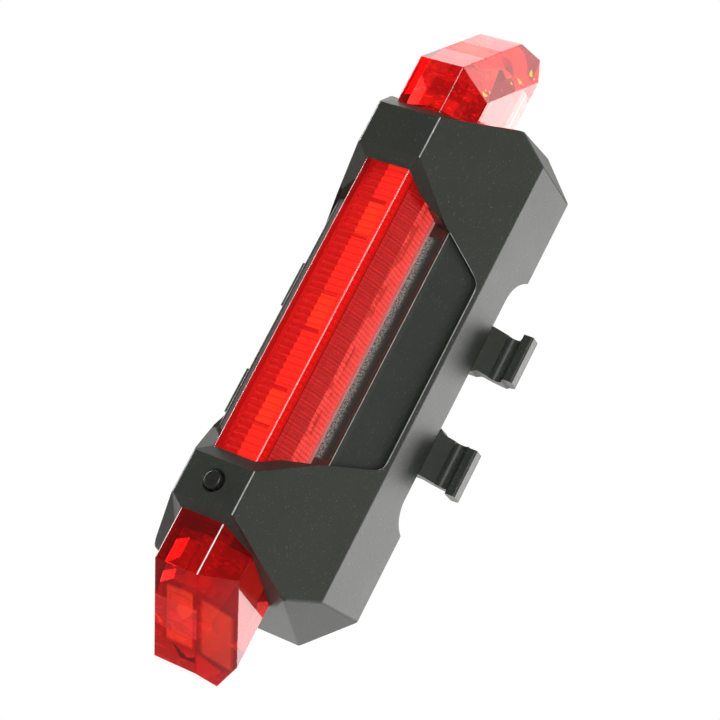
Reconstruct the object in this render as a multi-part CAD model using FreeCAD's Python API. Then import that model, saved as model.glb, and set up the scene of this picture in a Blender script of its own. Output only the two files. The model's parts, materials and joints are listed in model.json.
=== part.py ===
import FreeCAD, Part
import math
import os

# Rechargeable bicycle tail light, held on a seat post by a rubber band round four hooks.
# Millimetres. X runs across the light, Z along its length, the push button at the lower end.
# Every piece is drawn with y as its depth behind the front face of the housing. The last step
# moves them all, so that the origin lies where the seat post touches the saddle pad.

V = FreeCAD.Vector

# Clearances
seat_gap = 0.08           # fixed pieces that sit in one another
running_gap = 0.09        # pieces that move in a hole
far = 60.0                # reach of a cutting tool beyond the light

# Front housing
bridge_half_width = 3.81
bridge_inner_z = 18.25
bridge_outer_z = 22.97
wing_slope = 1.8          # depth gained per millimetre outward
shoulder_half_width = 10.38
housing_half_width = 11.22
housing_depth = 18.57
arm_tip_half_width = 8.39
arm_tip_z = 27.48
end_lean = 0.209          # the end faces step out by this per millimetre of depth
end_width_at_rear = 12.7
corner_slope = 0.93       # length lost per millimetre outward on the corner facets
notch_width_slope = 0.266
notch_depth_slope = 0.399
bridge_bevel_outer = 0.888
wing_foot_width_slope = 0.352
wing_foot_depth_slope = 0.542
bridge_bevel_inner = 1.138
wall = 1.4
edge_radius = 0.5

# Window and side panels of the housing
rail_half_width = 6.95
rail_drop = 0.78          # the panels lie this much deeper than the wings
valley_half_width = 4.42
valley_depth = 7.5
slope_sag = 0.35
wing_foot_x = 6.87
wing_foot_z = 14.0
panel_half_width = 10.05
panel_corner_x = 9.13
panel_corner_z = 11.9
panel_radius = 1.6
lens_exit_half_width = 2.67
lens_exit_z = 16.93
lens_side_z = 15.4
lens_foot_z = 14.7
lens_foot_depth = 7.0
rail_radius = 0.25

# Cut in the rear edge of the side walls, where the hooks come out
waist_depth = housing_depth - 2.17
waist_half_length = 11.9
waist_radius = 3.5

# Clear red body, one piece from end to end
half_length = 37.5
lens_front = 1.16
lens_front_half_width = 2.67
lens_half_width = 4.94
lens_shoulder = 4.9
lens_rear = housing_depth - 6.57
lens_wall = 1.3
lens_edge_radius = 0.3
crystal_edge_radius = 0.12
lens_ridge_end_z = 29.54
lens_side_end_z = 27.95
lens_chamfer_depth = 9.19
lens_step_top_x = 4.04
lens_step_top_depth = 3.41
lens_step_foot_x = 4.34
lens_step_depth = 8.8
lens_step_z = 17.4
board_room_half_width = 3.45
board_slot_room = 1.5
rib_pitch = 0.75
rib_height = 0.3
rib_zone_z = 17.2
window_room_z = 23.6
gem_ridge_depth = 4.2
gem_shoulder_depth = 6.3
gem_start_z = 25.2
gem_shoulder_z = 33.2
gem_point_z = 34.9
back_thickness = 1.0

# Rear cover and its four hooks
cover_thickness = 1.9
cover_sink = 0.47         # the cover lies this much deeper than the housing's rear edge
cover_front = housing_depth - cover_sink - cover_thickness
cover_half_width = 9.7
cover_end_z = 26.9
seal_thickness = 0.6
cavity_front = lens_rear
cavity_half_width = 8.6
cavity_end_z = 24.6
cavity_corner = 2.4
core_wall = 0.7           # plastic left between the clear body and the hollows beside it
core_front = lens_step_depth + 0.5
core_step_width = 1.2
core_step_rise = 0.5
core_width = 2.6
core_half_length = 20.5
cover_edge_radius = 0.3
hook_tab_front = cover_front + 0.3
hook_lip_x = 15.14
hook_lip_width = 1.3
hook_lip_front = cover_front + 1.55
hook_groove_depth = cover_front + 2.35
hook_groove_x = 13.1
hook_rear = cover_front + 3.75
hook_tab_thickness = 1.5
hook_inner_z = 3.85
hook_outer_z = 9.45
hook_flare = 0.4
hook_lip_shift = 0.6      # the lip stands out past the tab by this at its outer end
hook_root_x = 8.8

# Saddle pad for the seat post
post_radius = 15.8        # the largest common seat post is 31.6 mm across
pad_half_width = 7.2
pad_half_length = 13.0
pad_thickness = 1.2
pad_recess = 0.3
pad_corner = 1.5
pad_groove_pitch = 2.6
pad_groove_width = 0.9
pad_groove_depth = 0.5

# Screws
screw_x = 6.9
screw_z = 22.4
screw_radius = 0.8
screw_length = 4.6
screw_head_radius = 1.5
screw_head_height = 0.9
screw_slot_width = 0.45
screw_slot_depth = 0.45
boss_radius = 1.9

# Push button and its switch
button_z = -20.5
button_radius = 1.0
button_rise = 0.45
button_dome = 0.3
button_rim = 0.2          # bevel round the button's hole
button_travel = 0.35
button_flange_radius = 1.75
button_flange_thickness = 0.5
button_stem_radius = 0.9
button_room_radius = 2.1
boot_thickness = 0.4
switch_size = 4.5
switch_frame_thickness = 0.2
switch_base_height = 3.4
plunger_radius = 1.1
plunger_rise = 0.4
plunger_depth = 1.2
terminal_width = 0.7
terminal_thickness = 0.25

# Board and lamps
board_thickness = 1.0
board_front = lens_rear - back_thickness - board_thickness
switch_base_front = board_front - switch_base_height
board_half_width = 3.3
board_half_length = 32.6
board_corner = 1.2
led_places = (30.0, 11.0, 0.0, -11.0, -30.0)
led_width = 3.5
led_length = 2.8
led_height = 1.3
led_window_width = 2.9
led_window_length = 2.2
led_cup_depth = 0.35
tray_front = board_front - 2.1
tray_face = 0.8
tray_half_width = 3.2
tray_half_length = 17.0
tray_rim = 0.45
tray_flare = 0.9
chip_z = -21.2
chip_width = 3.9
chip_length = 4.9
chip_height = 1.2
chip_stand = 0.15
leg_pitch = 1.27
leg_width = 0.42
leg_reach = 0.95
charger_z = 16.3
charger_width = 1.6
charger_length = 1.4
charger_height = 0.5
resistor_width = 1.6
resistor_length = 0.8
resistor_height = 0.35
resistor_places = (8.0, 0.0, -8.0)
resistor_x = 1.6

# Cell, foam and leads
cell_half_width = 6.0
cell_top_z = 14.0
cell_bottom_z = -15.6
cell_thickness = 2.9
foam_thickness = 0.8
foam_side_inset = 1.0
foam_end_inset = 2.0
cell_front = cover_front - foam_thickness - cell_thickness
cell_radius = 0.9
cell_board_half_width = 5.0
cell_board_length = 2.4
cell_board_thickness = 0.8
cell_board_front = cell_front + 1.1
lead_radius = 0.4
lead_x = 1.5

# Charging socket and its rubber flap
port_z = 19.9
socket_width = 7.5
socket_height = 2.6
socket_wall = 0.25
socket_rear = cover_front - 0.2
tongue_width = 3.7
tongue_thickness = 0.65
tongue_rear = socket_rear - 0.8
contact_count = 5
contact_pitch = 0.65
contact_width = 0.35
contact_thickness = 0.12
port_width = 8.4
port_height = 3.5
flap_width = 10.0
flap_thickness = 0.9
flap_bottom_z = 16.8
flap_hinge_z = 23.3
anchor_length = 1.2
plug_depth = 0.8
flap_corner = 1.0
flap_grip_radius = 1.6


def shoulder_depth():
    return wing_slope * (shoulder_half_width - bridge_half_width)


def wing_depth(x):
    return wing_slope * (x - bridge_half_width)


def rail_depth():
    return wing_depth(rail_half_width) + rail_drop


def rounded_outline(corners, place):
    """A closed wire through corners (u, v) or (u, v, radius), put in space by place."""
    edges = []
    ends = []
    count = len(corners)
    for i in range(count):
        corner = V(corners[i][0], corners[i][1], 0)
        radius = corners[i][2] if len(corners[i]) > 2 else 0.0
        if radius == 0.0:
            ends.append((corner, corner, None))
            continue
        back = (V(*corners[i - 1][:2], 0) - corner).normalize()
        ahead = (V(*corners[(i + 1) % count][:2], 0) - corner).normalize()
        half = back.getAngle(ahead) / 2
        reach = radius / math.tan(half)
        bisector = (back + ahead).normalize()
        middle = corner + bisector * (radius / math.sin(half) - radius)
        ends.append((corner + back * reach, corner + ahead * reach, middle))
    for i in range(count):
        start, stop, middle = ends[i]
        if middle is not None:
            edges.append(Part.Arc(place(start), place(middle), place(stop)).toShape())
        following = ends[(i + 1) % count][0]
        if stop.distanceToPoint(following) > 1e-6:
            edges.append(Part.LineSegment(place(stop), place(following)).toShape())
    return Part.Wire(edges)


def section_prism(corners, z0, z1):
    """Corners are (x, y); the prism runs along Z."""
    wire = rounded_outline(corners, lambda p: V(p.x, p.y, z0))
    return Part.Face(wire).extrude(V(0, 0, z1 - z0))


def plan_prism(corners, y0, y1):
    """Corners are (x, z); the prism runs along Y, into the depth."""
    wire = rounded_outline(corners, lambda p: V(p.x, y0, p.y))
    return Part.Face(wire).extrude(V(0, y1 - y0, 0))


def side_prism(corners, x0, x1):
    """Corners are (y, z); the prism runs along X."""
    wire = rounded_outline(corners, lambda p: V(x0, p.x, p.y))
    return Part.Face(wire).extrude(V(x1 - x0, 0, 0))


def block(x0, x1, y0, y1, z0, z1):
    return Part.makeBox(x1 - x0, y1 - y0, z1 - z0, V(x0, y0, z0))


def rod(radius, x, z, y0, y1):
    """A cylinder that points into the depth."""
    return Part.makeCylinder(radius, y1 - y0, V(x, y0, z), V(0, 1, 0))


def beyond(point, normal):
    """The space on the far side of a plane, as a large block."""
    tool = Part.makeBox(2 * far, 2 * far, far, V(-far, -far, 0))
    tool.Placement = FreeCAD.Placement(point, FreeCAD.Rotation(V(0, 0, 1), normal))
    return tool


def normal_of(a, b, c):
    return (b - a).cross(c - a).normalize()


def facing(normal, direction):
    return normal if normal.dot(direction) > 0 else normal * -1


def mirrored(shape, direction):
    return shape.mirror(V(0, 0, 0), direction)


def both_sides(shape):
    return shape.fuse(mirrored(shape, V(1, 0, 0)))


def both_ends(shape):
    return shape.fuse(mirrored(shape, V(0, 0, 1)))


def group(shapes):
    return Part.Compound(shapes)


def straight_edges(shape, wanted):
    """Straight edges whose two end points both pass the test."""
    found = []
    for edge in shape.Edges:
        if len(edge.Vertexes) == 2 and edge.Curve.TypeId == "Part::GeomLine":
            if all(wanted(vertex.Point) for vertex in edge.Vertexes):
                found.append(edge)
    return found


def near(value, target):
    return abs(value - target) < 0.02


def symmetric(points):
    """A section outline from its right half, listed from front to rear."""
    left = [(-p[0],) + tuple(p[1:]) for p in reversed(points)]
    return list(points) + left


def outer_block():
    """The housing before anything is cut from it: ridge, wings, side walls and sloping ends."""
    right = [(bridge_half_width, 0), (shoulder_half_width, shoulder_depth()),
             (housing_half_width, housing_depth)]
    body = section_prism(symmetric(right), -half_length, half_length)
    tip = V(arm_tip_half_width, wing_depth(arm_tip_half_width), arm_tip_z)
    end_normal = V(0, -end_lean, 1)
    rear_z = arm_tip_z + end_lean * (housing_depth - tip.y)
    rear_point = V(end_width_at_rear / 2, housing_depth, rear_z)
    corner_normal = normal_of(tip, rear_point, tip + V(1, 0, -corner_slope))
    corner_normal = facing(corner_normal, V(1, 0, 1))
    for way in (1, -1):
        body = body.cut(beyond(V(tip.x, tip.y, way * tip.z), V(0, end_normal.y, way)))
        for side in (1, -1):
            normal = V(side * corner_normal.x, corner_normal.y, way * corner_normal.z)
            body = body.cut(beyond(V(side * tip.x, tip.y, way * tip.z), normal))
    front_edges = [e for e in body.Edges if e.BoundBox.YMin < housing_depth - 0.1]
    return body.makeFillet(edge_radius, front_edges)


def end_notches():
    """Planar hollows at both ends, in which the clear ends lie."""
    start = V(bridge_half_width, 0, bridge_outer_z)
    notch = beyond(start, V(-notch_width_slope, -notch_depth_slope, 1))
    bridge_end = beyond(start, V(0, -bridge_bevel_outer, 1))
    wing_foot = beyond(start, V(wing_foot_width_slope, -wing_foot_depth_slope, 1))
    behind = block(-far, far, lens_shoulder, far, -far, far)
    side = notch.common(bridge_end.fuse([wing_foot, behind]))
    side = side.common(block(0, far, -far, far, 0, far))
    return both_ends(both_sides(side))


def window_pocket():
    """The opening over the lens, with bevelled ends, sloping corners and hollow rails."""
    middle = V((rail_half_width + valley_half_width) / 2 - slope_sag * 0.5,
               (rail_depth() + valley_depth) / 2 + slope_sag, 0)
    floor = lens_step_depth - seat_gap
    points = [V(0, -1, 0), V(0, floor, 0), V(valley_half_width, floor, 0),
              V(valley_half_width, valley_depth, 0), V(rail_half_width, rail_depth(), 0),
              V(rail_half_width, -1, 0)]
    edges = []
    for a, b in zip(points, points[1:] + points[:1]):
        if a is points[3]:
            edges.append(Part.Arc(a, middle, b).toShape())
        else:
            edges.append(Part.LineSegment(a, b).toShape())
    quarter = Part.Face(Part.Wire(edges)).extrude(V(0, 0, bridge_inner_z + 1))
    top = V(bridge_half_width, 0, bridge_inner_z)
    foot = V(wing_foot_x, wing_depth(wing_foot_x), wing_foot_z)
    exit_front = V(lens_exit_half_width, lens_front, lens_exit_z)
    exit_side = V(lens_step_top_x, lens_step_top_depth, lens_side_z)
    exit_foot = V(lens_step_foot_x, lens_foot_depth, lens_foot_z)
    up = V(0, 0, 1)
    walls = [(top, V(0, bridge_bevel_inner, 1)),
             (top, facing(normal_of(top, foot, exit_front), up)),
             (foot, facing(normal_of(foot, exit_side, exit_foot), up))]
    pieces = [quarter.cut(beyond(point, normal)) for point, normal in walls]
    pieces[2] = pieces[2].common(block(lens_exit_half_width, far, -far, far, -far, far))
    pocket = pieces[0].fuse(pieces[1:])
    return both_ends(both_sides(pocket))


def side_panels():
    """Shallow flat recesses in both flanks, between the wings."""
    start = wing_foot_x - 0.6
    rise = (wing_foot_z - panel_corner_z) / (panel_corner_x - wing_foot_x)
    outer_z = panel_corner_z - rise * (panel_half_width - panel_corner_x)
    start_z = wing_foot_z + rise * (wing_foot_x - start)
    corners = [(start, start_z), (panel_half_width, outer_z, panel_radius),
               (panel_half_width, -outer_z, panel_radius), (start, -start_z)]
    plan = plan_prism(corners, -1, housing_depth)
    panel_point = V(rail_half_width, rail_depth(), 0)
    plan = plan.cut(beyond(panel_point, V(-wing_slope, 1, 0)))
    return both_sides(plan)


def waist_cut():
    """The hollow in the rear edge of both side walls."""
    rear_reach = math.sqrt(waist_radius ** 2 - (waist_depth + waist_radius - housing_depth) ** 2)
    end = waist_half_length + rear_reach
    bend = rear_reach * 0.5
    middle = waist_depth + waist_radius - math.sqrt(waist_radius ** 2 - bend ** 2)
    rear = housing_depth + 1

    def at(y, z):
        return V(-far / 2, y, z)

    edges = [Part.LineSegment(at(waist_depth, -waist_half_length),
                              at(waist_depth, waist_half_length)).toShape(),
             Part.Arc(at(waist_depth, waist_half_length), at(middle, waist_half_length + bend),
                      at(housing_depth, end)).toShape(),
             Part.LineSegment(at(housing_depth, end), at(rear, end)).toShape(),
             Part.LineSegment(at(rear, end), at(rear, -end)).toShape(),
             Part.LineSegment(at(rear, -end), at(housing_depth, -end)).toShape(),
             Part.Arc(at(housing_depth, -end), at(middle, -waist_half_length - bend),
                      at(waist_depth, -waist_half_length)).toShape()]
    return Part.Face(Part.Wire(edges)).extrude(V(far, 0, 0))


def lens_section(gap):
    """Right half of the clear body's section, grown by a gap."""
    lean = math.hypot(lens_half_width - lens_front_half_width, lens_shoulder - lens_front)
    front_x = lens_front_half_width + gap * 0.58
    rise = gap * (lens_half_width - lens_front_half_width) / lean
    return [(front_x, lens_front - gap, lens_edge_radius + gap),
            (lens_half_width + gap, lens_shoulder - rise), (lens_half_width + gap, lens_rear + gap)]


def cover_plan(inset):
    """Outline of the rear cover's seat, drawn in from it by an inset."""
    side = cover_half_width + seat_gap - inset
    end = cover_end_z + seat_gap - inset
    tip = V(arm_tip_half_width, 0, arm_tip_z)
    outer = tip.z + corner_slope * tip.x
    inner = outer - (wall + inset) * math.hypot(1, corner_slope)
    corner_z = inner - corner_slope * side
    corner_x = (inner - end) / corner_slope
    right = [(corner_x, end), (side, corner_z), (side, -corner_z), (corner_x, -end)]
    return symmetric(right)


def front_housing():
    body = outer_block()
    body = body.cut(end_notches())
    passage = section_prism(symmetric(lens_section(seat_gap)), -half_length, half_length)
    body = body.cut(passage)
    lip = block(valley_half_width, lens_half_width + 0.5, lens_shoulder, lens_step_depth - seat_gap,
                -lens_step_z + seat_gap, lens_step_z - seat_gap)
    body = body.fuse(both_sides(lip))
    body = body.cut(window_pocket())
    body = body.cut(side_panels())
    cavity = plan_prism(symmetric([(cavity_half_width - cavity_corner, cavity_end_z),
                                   (cavity_half_width, cavity_end_z - cavity_corner),
                                   (cavity_half_width, -cavity_end_z + cavity_corner),
                                   (cavity_half_width - cavity_corner, -cavity_end_z)]),
                        cavity_front, housing_depth)
    body = body.cut(cavity)
    body = body.cut(plan_prism(cover_plan(0), cover_front - seal_thickness, housing_depth + 1))
    core_x = lens_half_width + seat_gap + core_wall
    core = section_prism([(core_x, core_front), (core_x + core_step_width, core_front + core_step_rise),
                          (core_x + core_width, cavity_front + 0.5), (core_x, cavity_front + 0.5)],
                         -core_half_length, core_half_length)
    body = body.cut(both_sides(core))
    bosses = []
    for x in (screw_x, -screw_x):
        for z in (screw_z, -screw_z):
            bosses.append(rod(boss_radius, x, z, cavity_front - 0.5, cover_front))
    body = body.fuse(bosses)
    pilots = []
    for x in (screw_x, -screw_x):
        for z in (screw_z, -screw_z):
            pilots.append(rod(screw_radius + 0.04, x, z, cover_front - screw_length, cover_front + 1))
    body = body.cut(group(pilots))
    body = body.cut(waist_cut())
    hole = button_radius + running_gap
    body = body.cut(rod(hole, 0, button_z, -1, lens_front + 1))
    body = body.cut(Part.makeCone(hole + 2 * button_rim, hole, 2 * button_rim,
                                  V(0, -button_rim, button_z), V(0, 1, 0)))
    body = body.removeSplitter()
    rails = straight_edges(body, lambda p: near(abs(p.x), rail_half_width) and near(p.y, rail_depth()))
    return body.makeFillet(rail_radius, rails)


def crystal_cut(body):
    """The facets that close one end of the clear body, cut at both ends."""
    ridge = V(lens_front_half_width, lens_front, lens_ridge_end_z)
    rear = V(lens_front_half_width, lens_chamfer_depth, half_length)
    side = V(lens_half_width, lens_shoulder, lens_side_end_z)
    slope = (half_length - lens_ridge_end_z) / (lens_chamfer_depth - lens_front)
    corner = facing(normal_of(ridge, rear, side), V(1, 0, 1))
    for way in (1, -1):
        body = body.cut(beyond(V(0, lens_front, way * lens_ridge_end_z), V(0, -slope, way)))
        for hand in (1, -1):
            point = V(hand * ridge.x, ridge.y, way * ridge.z)
            body = body.cut(beyond(point, V(hand * corner.x, corner.y, way * corner.z)))
    return body


def lens_outer():
    body = crystal_cut(section_prism(symmetric(lens_section(0)), -half_length, half_length))
    facets = straight_edges(body, lambda p: abs(p.z) > lens_side_end_z - 0.1 and p.y < lens_rear - 0.1)
    return body.makeFillet(crystal_edge_radius, facets)


def window_room():
    """The hollow behind the window, with a ribbed front face."""
    lean = math.atan2(lens_half_width - lens_front_half_width, lens_shoulder - lens_front)
    front = lens_front + lens_wall
    inner_x = lens_front_half_width - lens_wall / math.cos(lean) + lens_wall * math.tan(lean)
    roof_slope = (lens_shoulder - lens_front) / (lens_half_width - lens_front_half_width)
    side_depth = front + roof_slope * (board_room_half_width - inner_x)
    section = symmetric([(inner_x, front), (board_room_half_width, side_depth),
                         (board_room_half_width, lens_rear + 1)])
    room = section_prism(section, -window_room_z, window_room_z)
    count = int(2 * rib_zone_z / rib_pitch)
    profile = []
    for i in range(count + 1):
        z = -rib_zone_z + i * 2 * rib_zone_z / count
        profile.append((side_depth, z) if i in (0, count) else (front, z))
        if i < count:
            profile.append((front + rib_height, z + rib_zone_z / count))
    ribs = [(front - 0.5, -rib_zone_z), (front, -rib_zone_z)] + profile[1:-1]
    ribs += [(front, rib_zone_z), (front - 0.5, rib_zone_z)]
    return room.cut(side_prism(ribs, -lens_half_width, lens_half_width))


def gem_plan(inset):
    """Outline of the hollow in one clear end, drawn in from it by an inset."""
    half = board_room_half_width - inset
    lean = (gem_point_z - gem_shoulder_z) / board_room_half_width
    point_z = gem_point_z - inset * math.hypot(1, lean)
    side_z = point_z - lean * half
    start_z = gem_start_z + inset
    return [(half, start_z), (half, side_z), (0, point_z), (-half, side_z), (-half, start_z)]


def gem_room():
    """The gabled hollow in one clear end, over its lamp."""
    room = plan_prism(gem_plan(0), gem_ridge_depth, lens_rear + 1)
    roof = (gem_shoulder_depth - gem_ridge_depth) / board_room_half_width
    slope = (half_length - lens_ridge_end_z) / (lens_chamfer_depth - lens_front)
    for side in (1, -1):
        room = room.cut(beyond(V(0, gem_ridge_depth, 0), V(side * roof, -1, 0)))
    wall_point = V(0, lens_front + lens_wall * 1.6, lens_ridge_end_z)
    return room.cut(beyond(wall_point, V(0, -slope, 1)))


def lens_body():
    body = lens_outer()
    step = section_prism([(lens_step_top_x, 0), (lens_step_top_x, lens_step_top_depth),
                          (lens_step_foot_x, lens_step_depth), (far, lens_step_depth), (far, 0)],
                         -lens_step_z, lens_step_z)
    body = body.cut(both_sides(step))
    body = body.cut(window_room())
    board_slot = block(-board_room_half_width, board_room_half_width, board_front - board_slot_room,
                       lens_rear + 1, -gem_start_z - 0.1, gem_start_z + 0.1)
    body = body.cut(board_slot)
    body = body.cut(both_ends(gem_room()))
    socket_x = socket_width / 2 + seat_gap
    socket_z = socket_height / 2 + seat_gap
    body = body.cut(block(-socket_x, socket_x, board_front + board_thickness - seat_gap, lens_rear + 1,
                          port_z - socket_z, port_z + socket_z))
    body = body.cut(rod(button_room_radius, 0, button_z, lens_front - 1, board_front))
    return body.removeSplitter()


def crystal_backs():
    """Clear red plates that close the hollows of both ends from behind."""
    plate = plan_prism(gem_plan(seat_gap), lens_rear - back_thickness, lens_rear)
    return group([plate, mirrored(plate, V(0, 0, 1))])


def hook(side, way):
    """One J shaped hook: a tab from the cover, a groove for the band and a forward lip."""
    lip_in = hook_lip_x - hook_lip_width
    root = side_x(hook_tab_front)
    bottom = hook_tab_front + hook_tab_thickness

    def at(x, y):
        return V(x, y, hook_inner_z - 2 * hook_flare)

    wire = [at(hook_root_x, hook_tab_front), at(root, hook_tab_front)]
    edges = [Part.LineSegment(wire[0], wire[1]).toShape(),
             Part.LineSegment(wire[1], at(hook_groove_x - 0.75, hook_groove_depth - 0.7)).toShape(),
             Part.Arc(at(hook_groove_x - 0.75, hook_groove_depth - 0.7),
                      at(hook_groove_x + 0.05, hook_groove_depth),
                      at(lip_in, hook_groove_depth - 0.45)).toShape(),
             Part.LineSegment(at(lip_in, hook_groove_depth - 0.45),
                              at(lip_in + 0.05, hook_lip_front + 0.25)).toShape(),
             Part.Arc(at(lip_in + 0.05, hook_lip_front + 0.25), at(lip_in + 0.14, hook_lip_front + 0.07),
                      at(lip_in + 0.35, hook_lip_front)).toShape(),
             Part.LineSegment(at(lip_in + 0.35, hook_lip_front),
                              at(hook_lip_x - 0.25, hook_lip_front + 0.05)).toShape(),
             Part.Arc(at(hook_lip_x - 0.25, hook_lip_front + 0.05),
                      at(hook_lip_x - 0.06, hook_lip_front + 0.14),
                      at(hook_lip_x, hook_lip_front + 0.35)).toShape(),
             Part.LineSegment(at(hook_lip_x, hook_lip_front + 0.35),
                              at(hook_lip_x - 0.05, hook_rear - 0.9)).toShape(),
             Part.Arc(at(hook_lip_x - 0.05, hook_rear - 0.9), at(hook_lip_x - 0.35, hook_rear - 0.25),
                      at(hook_lip_x - 1.1, hook_rear)).toShape(),
             Part.Arc(at(hook_lip_x - 1.1, hook_rear), at(hook_groove_x - 0.4, hook_rear - 0.5),
                      at(hook_root_x + 2.1, bottom)).toShape(),
             Part.LineSegment(at(hook_root_x + 2.1, bottom), at(hook_root_x, bottom)).toShape(),
             Part.LineSegment(at(hook_root_x, bottom), wire[0]).toShape()]
    profile = Part.Face(Part.Wire(edges)).extrude(V(0, 0, hook_outer_z - hook_inner_z + 2 * hook_flare))
    tab_outer_z = hook_outer_z - hook_lip_shift
    plan = plan_prism([(hook_root_x - 1, hook_inner_z - hook_flare), (root, hook_inner_z - hook_flare),
                       (root + hook_flare, hook_inner_z, hook_flare), (lip_in, hook_inner_z),
                       (lip_in + 0.3, hook_inner_z + 0.2), (far, hook_inner_z + 0.2),
                       (far, hook_outer_z), (lip_in, hook_outer_z),
                       (lip_in - 0.3, tab_outer_z), (hook_root_x - 1, tab_outer_z)],
                      hook_tab_front - 1, hook_rear + 1)
    shape = profile.common(plan)
    if side < 0:
        shape = mirrored(shape, V(1, 0, 0))
    if way < 0:
        shape = mirrored(shape, V(0, 0, 1))
    return shape


def side_x(depth):
    """Half-width of the housing's side wall at a depth."""
    share = (depth - shoulder_depth()) / (housing_depth - shoulder_depth())
    return shoulder_half_width + share * (housing_half_width - shoulder_half_width)


def rear_cover():
    rear = cover_front + cover_thickness
    body = plan_prism(cover_plan(seat_gap), cover_front, rear)
    outer_edges = [e for e in body.Edges if all(near(v.Point.y, rear) for v in e.Vertexes)]
    body = body.makeFillet(cover_edge_radius, outer_edges)
    for side in (1, -1):
        for way in (1, -1):
            body = body.fuse(hook(side, way))
    body = body.cut(pad_prism(seat_gap, rear - pad_recess, rear + 1))
    half = flap_width / 2 + running_gap
    body = body.cut(plan_prism([(half, flap_bottom_z - running_gap, flap_corner),
                                (half, flap_hinge_z + anchor_length + seat_gap),
                                (-half, flap_hinge_z + anchor_length + seat_gap),
                                (-half, flap_bottom_z - running_gap, flap_corner)],
                               rear - flap_thickness, rear + 1))
    body = body.cut(rod(flap_grip_radius, 0, flap_bottom_z - 0.2, rear - flap_thickness * 0.6, rear + 1))
    body = body.cut(block(-port_width / 2, port_width / 2, cover_front - 1, rear + 1,
                          port_z - port_height / 2, port_z + port_height / 2))
    for x in (screw_x, -screw_x):
        for z in (screw_z, -screw_z):
            body = body.cut(rod(screw_radius + 0.2, x, z, cover_front - 1, rear + 1))
            body = body.cut(rod(screw_head_radius + running_gap, x, z,
                                rear - screw_head_height - 0.2, rear + 1))
    return body.removeSplitter()


def cover_seal():
    outer = plan_prism(cover_plan(seat_gap), cover_front - seal_thickness, cover_front)
    inner = plan_prism(cover_plan(0.9), cover_front - 2, cover_front + 1)
    ring = outer.cut(inner)
    for x in (screw_x, -screw_x):
        for z in (screw_z, -screw_z):
            ring = ring.cut(rod(boss_radius + seat_gap, x, z, cover_front - 2, cover_front + 1))
    return ring


def cover_screws():
    screws = []
    rear = cover_front + cover_thickness - 0.2
    seat = rear - screw_head_height
    for x in (screw_x, -screw_x):
        for z in (screw_z, -screw_z):
            shank = rod(screw_radius, x, z, cover_front - screw_length + 0.2, seat)
            screw = rod(screw_head_radius, x, z, seat, rear).fuse(shank)
            for angle in (0, 90):
                slot = block(-screw_head_radius * 0.7, screw_head_radius * 0.7,
                             rear - screw_slot_depth, rear + 1,
                             -screw_slot_width / 2, screw_slot_width / 2)
                slot.rotate(V(0, 0, 0), V(0, 1, 0), angle)
                slot.translate(V(x, 0, z))
                screw = screw.cut(slot)
            screws.append(screw)
    return group(screws)


def pad_prism(grown, y0, y1):
    half = pad_half_width + grown
    length = pad_half_length + grown
    radius = pad_corner + grown
    return plan_prism([(half, length, radius), (half, -length, radius),
                       (-half, -length, radius), (-half, length, radius)], y0, y1)


def saddle_pad():
    """Rubber pad whose rear face follows the largest seat post, with grip grooves across it."""
    front = cover_front + cover_thickness - pad_recess
    contact = front + pad_thickness
    edge = contact + post_radius - math.sqrt(post_radius ** 2 - pad_half_width ** 2)
    pad = pad_prism(0, front, edge)
    post = Part.makeCylinder(post_radius, 2 * far, V(0, contact + post_radius, -far))
    pad = pad.cut(post)
    count = int(2 * (pad_half_length - 2) / pad_groove_pitch)
    for i in range(count + 1):
        z = (i - count / 2) * pad_groove_pitch
        disc = Part.makeCylinder(post_radius + pad_groove_depth, pad_groove_width,
                                 V(0, contact + post_radius, z - pad_groove_width / 2))
        pad = pad.cut(disc)
    return pad


def button_cap():
    top = rod(button_radius, 0, button_z, -button_rise, lens_front + seat_gap)
    rim = [e for e in top.Edges if near(e.BoundBox.YMax, -button_rise)]
    top = top.makeFillet(button_dome, rim)
    flange_front = lens_front + seat_gap
    flange = rod(button_flange_radius, 0, button_z, flange_front,
                 flange_front + button_flange_thickness)
    stem = rod(button_stem_radius, 0, button_z, flange_front, switch_top() - 0.02)
    return top.fuse([flange, stem]).removeSplitter()


def switch_top():
    return switch_base_front - switch_frame_thickness - plunger_rise


def button_boot():
    """Silicone washer under the clear body's front wall, round the stem."""
    front = lens_front + lens_wall
    return rod(button_room_radius - running_gap, 0, button_z, front + 0.3,
               front + 0.3 + boot_thickness).cut(
        rod(button_stem_radius + running_gap, 0, button_z, front, front + 2))


def switch_base():
    half = switch_size / 2
    body = block(-half, half, switch_base_front, board_front, button_z - half, button_z + half)
    body = body.makeFillet(0.3, straight_edges(body, lambda p: True)[:4])
    return body.cut(rod(plunger_radius + running_gap, 0, button_z, switch_base_front - 1,
                        switch_base_front + plunger_depth + button_travel))


def switch_frame():
    half = switch_size / 2
    plate = block(-half, half, switch_base_front - switch_frame_thickness, switch_base_front,
                  button_z - half, button_z + half)
    return plate.cut(rod(plunger_radius + running_gap, 0, button_z, 0, board_front))


def switch_plunger():
    return rod(plunger_radius, 0, button_z, switch_top(), switch_base_front + plunger_depth)


def switch_terminals():
    half = switch_size / 2
    legs = []
    for side in (1, -1):
        for way in (1, -1):
            z = button_z + way * 1.3
            leg = block(half, half + 0.6, board_front - terminal_thickness, board_front,
                        z - terminal_width / 2, z + terminal_width / 2)
            leg = leg.fuse(block(half, half + terminal_thickness, board_front - 1.2, board_front,
                                 z - terminal_width / 2, z + terminal_width / 2))
            legs.append(leg if side > 0 else mirrored(leg, V(1, 0, 0)))
    return group(legs)


def led_board():
    w = board_half_width
    n = board_half_length
    corners = [(w, -n + board_corner), (w, n - board_corner), (w - board_corner, n),
               (-w + board_corner, n), (-w, n - board_corner), (-w, -n + board_corner),
               (-w + board_corner, -n), (w - board_corner, -n)]
    return plan_prism(corners, board_front, board_front + board_thickness)


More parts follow.
